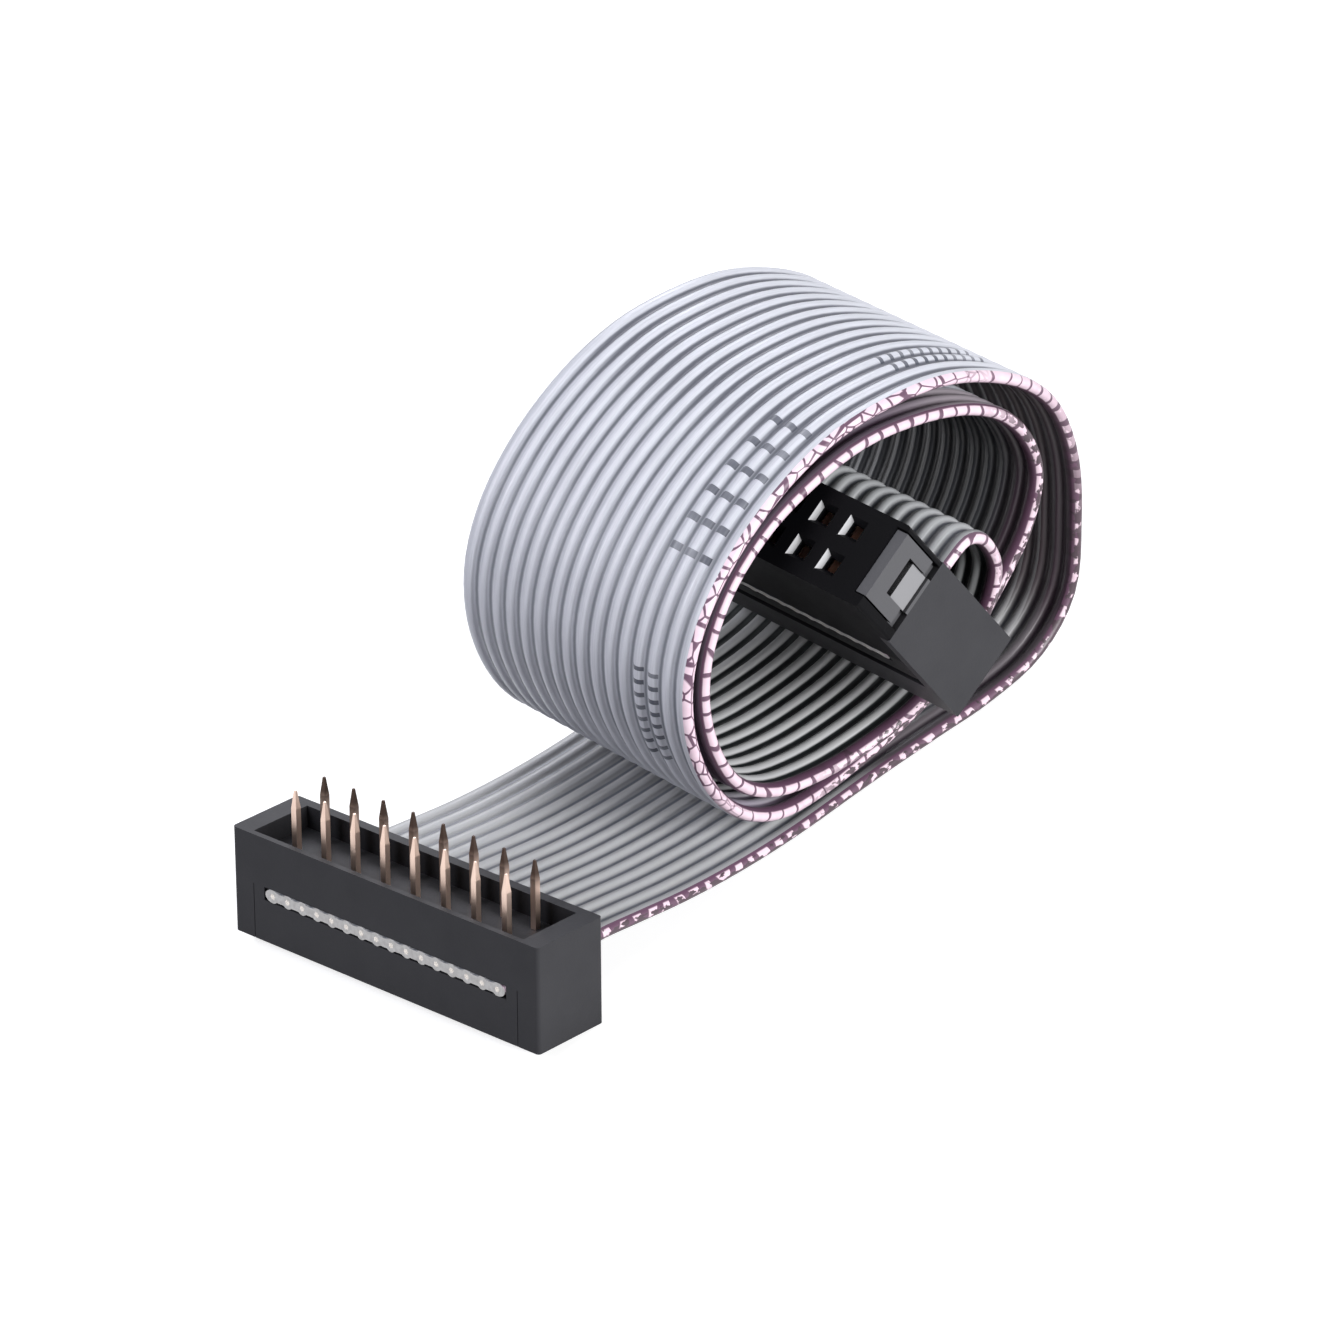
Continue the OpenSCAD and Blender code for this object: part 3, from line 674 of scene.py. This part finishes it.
def plated_metal(name, base, dark, tarnished_tips=False):
    """Thin plating over stamped copper alloy, drawn lengthways and slightly tarnished."""
    material, tree = new_material(name)
    spots = add_node(tree, "ShaderNodeTexCoord")
    stretch = add_node(tree, "ShaderNodeMapping", Vector=spots.outputs["Object"], Scale=(6.0, 6.0, 0.6))
    cloud = add_node(tree, "ShaderNodeTexNoise", Vector=stretch.outputs[0], Scale=400.0, Detail=4.0)
    colour = mix_colour(tree, cloud.outputs["Fac"], linear(base), linear(dark))
    if tarnished_tips:
        upright = add_node(tree, "ShaderNodeVectorMath", {"operation": "DOT_PRODUCT"},
                           _0=spots.outputs["Object"], _1=header_frame().to_3x3() @ Vector((0, 0, 1)))
        tip = add_node(tree, "ShaderNodeMapRange", {"interpolation_type": "SMOOTHSTEP"},
                       Value=upright.outputs["Value"], From_Min=PIN_TOP - TARNISH_START,
                       From_Max=PIN_TOP - TARNISH_FULL)
        colour = mix_colour(tree, tip.outputs[0], colour, linear("#473a34"))
    rough = add_node(tree, "ShaderNodeMapRange", Value=cloud.outputs["Fac"], To_Min=0.30, To_Max=0.44)
    body = add_node(tree, "ShaderNodeBsdfPrincipled", Base_Color=colour, Metallic=1.0,
                    Roughness=rough.outputs[0], IOR=1.5)
    add_node(tree, "ShaderNodeOutputMaterial", Surface=body.outputs[0])
    return material


contact_metal = plated_metal("gold_plated_copper_alloy", "#e6cfc0", "#cbb0a2")
tarnished_metal = plated_metal("gold_plated_copper_alloy_tarnished", "#e3cabb", "#c6a99a",
                               tarnished_tips=True)
for number in range(1, WIRES + 1):
    front_row = number % 2 == 1
    dress(f"header_contact_{number}", contact_metal if front_row else tarnished_metal, PIN_EDGE)


# ---- Socket housing, clamping bar and strain relief -----------------------------
# Three mouldings in the same plastic: a housing with tapered entries, a bar that
# clamps the ribbon behind it, and a clip that wraps both and latches at each end.

# Places in the socket's own frame for the rubbed lugs, the painted light on the arms and the painted
# highlight on the lead-ins: past each end, and heights below the mating face
SOCKET_END_X = 11.42 * MM
LUG_FRONT, LUG_REAR = -1.0 * MM, 1.6 * MM
LUG_FAR, LUG_NEAR = -4.4 * MM, -2.5 * MM
ARM_FOOT = -4.7 * MM
LEAD_IN = 0.34 * MM


def in_socket(tree, place):
    """Splits a place into the socket's own across, along the ribbon, and height below the mating face."""
    turned = add_node(tree, "ShaderNodeMapping", {"vector_type": "TEXTURE"}, Vector=place,
                      Location=SOCKET_AT, Rotation=socket_frame().to_euler())
    return add_node(tree, "ShaderNodeSeparateXYZ", Vector=turned.outputs[0]).outputs


def all_true(tree, tests):
    """1 where every (value, test, limit) holds."""
    held = None
    for value, test, limit in tests:
        here = add_node(tree, "ShaderNodeMath", {"operation": test}, _0=value, _1=limit).outputs[0]
        held = here if held is None else add_node(tree, "ShaderNodeMath", {"operation": "MULTIPLY"},
                                                  _0=held, _1=here).outputs[0]
    return held


def rubbed_and_highlit_housing(tree, place, colour):
    """The lugs are rubbed pale by the arms; each entry's lead-in on its +X side gets a painted highlight."""
    x, y, z = in_socket(tree, place)
    side = add_node(tree, "ShaderNodeMath", {"operation": "ABSOLUTE"}, _0=x).outputs[0]
    lug = all_true(tree, [(side, "GREATER_THAN", SOCKET_END_X),
                          (y, "GREATER_THAN", LUG_FRONT), (y, "LESS_THAN", LUG_REAR),
                          (z, "GREATER_THAN", LUG_FAR), (z, "LESS_THAN", LUG_NEAR)])
    facing = add_node(tree, "ShaderNodeVectorMath", {"operation": "DOT_PRODUCT"},
                      _0=add_node(tree, "ShaderNodeNewGeometry").outputs["Normal"],
                      _1=socket_frame().to_3x3() @ Vector((1, 0, 0))).outputs["Value"]
    # painted highlight on the lead-in walls that face +X
    lead_in_highlight = all_true(tree, [(facing, "GREATER_THAN", 0.3), (side, "LESS_THAN", RIBBON_W / 2),
                              (z, "GREATER_THAN", -LEAD_IN)])
    worn = mix_colour(tree, lug, colour, linear("#8f8f92"))
    return mix_colour(tree, lead_in_highlight, worn, linear("#c4c4c6"))


def painted_light_arms(tree, place, colour):
    """Painted light: the clip's latch arms past each end of the housing are painted paler, where light from
    the right falls on them.
    """
    x, _, z = in_socket(tree, place)
    side = add_node(tree, "ShaderNodeMath", {"operation": "ABSOLUTE"}, _0=x).outputs[0]
    arm = all_true(tree, [(side, "GREATER_THAN", SOCKET_END_X), (z, "GREATER_THAN", ARM_FOOT)])
    return mix_colour(tree, arm, colour, linear("#58585b"))


# painted shade: the housing and the bar get far darker bases than the clip and the header, shaded copies of
# the same plastic
shaded_housing_plastic = moulded_plastic("black_polyester_housing", "#0f0f11", "#0b0b0d", rubbed_and_highlit_housing, gloss=0.03)
shaded_bar_plastic = moulded_plastic("black_polyester_bar", "#171719", "#111113")
clip_plastic = moulded_plastic("black_polyester_clip", "#3d3d40", "#363639", painted_light_arms)
dress("socket_housing", shaded_housing_plastic, FINE_EDGE)
dress("socket_cover", shaded_bar_plastic, FINE_EDGE)
dress("strain_relief", clip_plastic, COARSE_EDGE)


# ---- Socket contacts ------------------------------------------------------------
# Sixteen stamped and plated contacts: a fork at the ribbon and two spring beams
# that grip a pin behind each entry.

SPRING_EDGE = 0.03 * MM

for number in range(1, WIRES + 1):
    dress(f"socket_contact_{number}", contact_metal, SPRING_EDGE)
